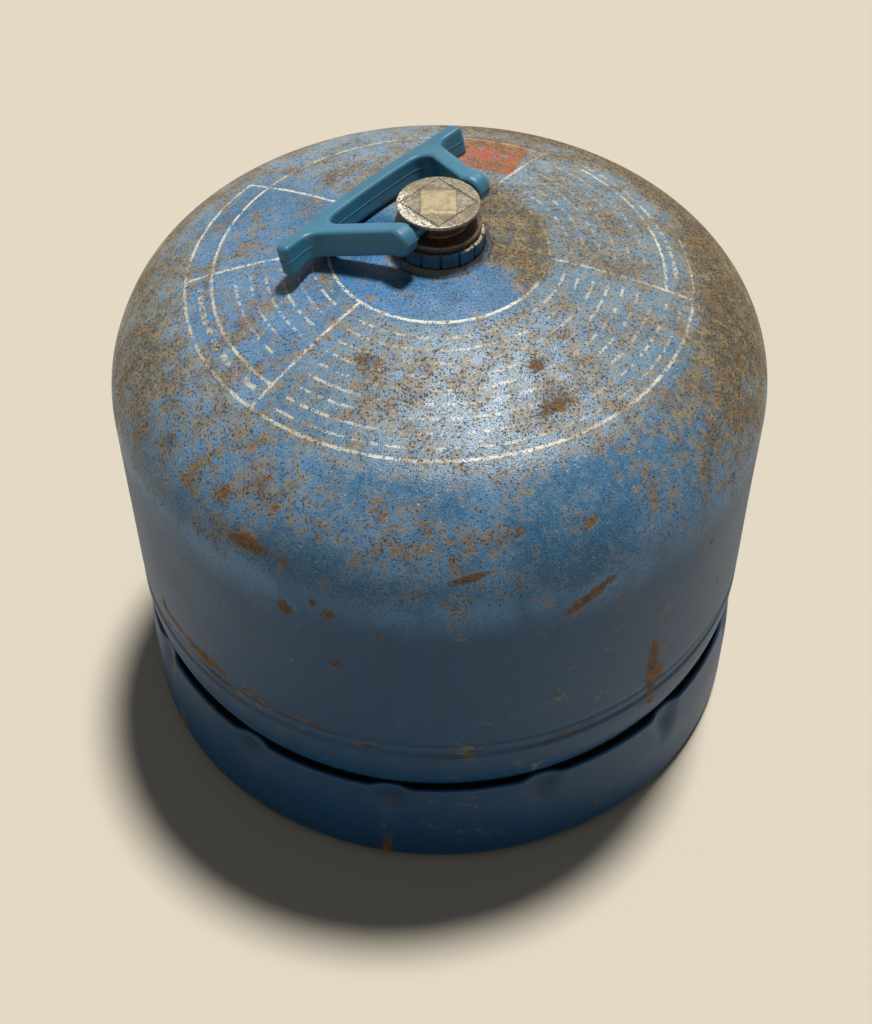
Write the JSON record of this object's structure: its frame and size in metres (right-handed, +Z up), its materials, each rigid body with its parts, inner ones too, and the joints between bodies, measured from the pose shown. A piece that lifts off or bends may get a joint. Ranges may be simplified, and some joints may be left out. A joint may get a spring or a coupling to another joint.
{
  "type": "gas cylinder",
  "caption": "Squat refillable gas cylinder of rusty blue steel with a domed top, a dimpled foot ring and a screw plug over its valve that carries a folding plastic handle.",
  "frame": {"origin": "centre of the foot ring on the surface that it stands on", "axes": "+Z up along the cylinder's axis; -Y is the side that the picture sees; the handle's hinge lies 49.3 degrees from +X towards +Y"},
  "size_m": [0.204, 0.204, 0.1891],
  "materials": {
    "blue_paint": "chipped gloss paint with rust",
    "rusty_steel": "rusted",
    "black_rubber": "matt",
    "bright_steel": "bright",
    "worn_zinc": "worn and tarnished plating",
    "teal_plastic": "moulded gloss"
  },
  "bodies": {
    "cylinder": {"upper_shell": "blue_paint", "lower_shell": "blue_paint", "girth_weld": "blue_paint", "foot_ring": "blue_paint", "valve_boss": "blue_paint", "boss_weld": "rusty_steel", "valve_seal": "black_rubber", "spring_retainer": "bright_steel", "valve_spring": "bright_steel"},
    "gasket": {"plug_gasket": "black_rubber"},
    "plug": {"screw_plug": "worn_zinc"},
    "handle": {"carry_handle": "teal_plastic"},
    "valve": {"valve_ball": "bright_steel"}
  },
  "joints": [
    {"name": "plug_rise", "type": "slide", "parent": "cylinder", "child": "gasket", "axis": [0, 0, 1], "range_m": [0, 0.009]},
    {"name": "plug_turn", "type": "hinge", "parent": "gasket", "child": "plug", "pos_m": [0, 0, 0.18], "axis": [0, 0, 1], "range_deg": [0, 2161]},
    {"name": "handle_fold", "type": "hinge", "parent": "plug", "child": "handle", "pos_m": [0, 0, 0.18456], "axis": [0.6521, 0.7581, 0], "range_deg": [0, 210.9]},
    {"name": "valve_open", "type": "slide", "parent": "cylinder", "child": "valve", "axis": [0, 0, -1], "range_m": [0, 0.002], "stiffness_N_per_m": 800, "springref_m": -0.004, "deforming": ["valve_spring"]}
  ],
  "couplings": [
    {"joint": "plug_turn", "follows": "plug_rise", "rad_per_m": 4188.8}
  ]
}
